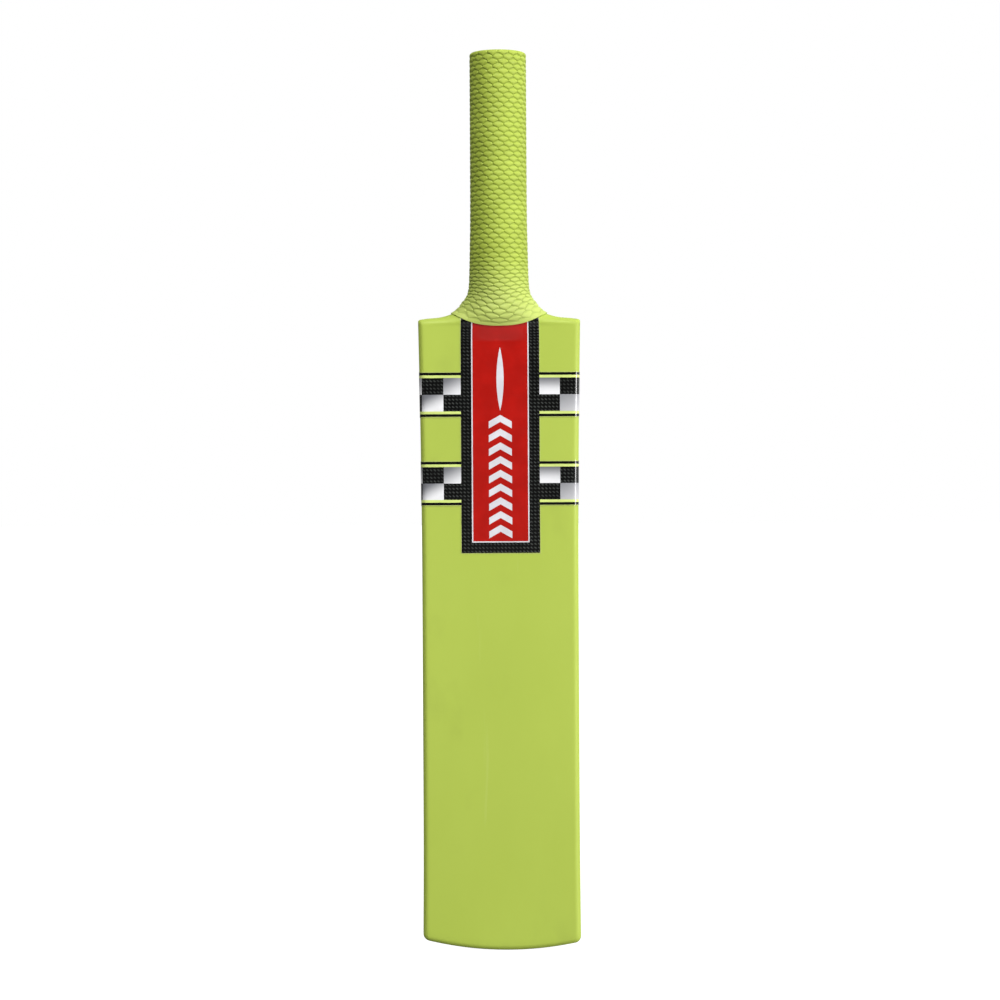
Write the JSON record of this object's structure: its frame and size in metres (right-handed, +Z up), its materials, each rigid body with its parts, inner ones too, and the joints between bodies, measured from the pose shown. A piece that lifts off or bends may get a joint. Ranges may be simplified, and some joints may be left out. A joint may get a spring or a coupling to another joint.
{
  "type": "junior cricket bat",
  "caption": "Short moulded plastic cricket bat with a flat hitting face, a low spine on the back, a round handle under a scale-textured rubber grip, and printed labels.",
  "frame": {"origin": "under the middle of the toe, at the lowest point of the blade", "axes": "+Z up the handle along the bat's length, -Y out of the flat hitting face, +X across the blade to the right when the face is looked at"},
  "size_m": [0.1028, 0.0362, 0.57],
  "materials": {
    "body_plastic": "satin",
    "foam": "matte",
    "plug_plastic": "satin",
    "tape": "matte",
    "grip_rubber": "matte",
    "panel_print": "gloss",
    "band_print": "gloss"
  },
  "bodies": {
    "root": {"blade_body": "body_plastic", "blade_foam_core": "foam", "handle_end_plug": "plug_plastic", "grip_tape": "tape", "grip_sleeve": "grip_rubber", "front_panel_label": "panel_print", "rear_panel_label": "panel_print", "upper_band_label_left": "band_print", "upper_band_label_right": "band_print", "lower_band_label_left": "band_print", "lower_band_label_right": "band_print"}
  },
  "joints": []
}
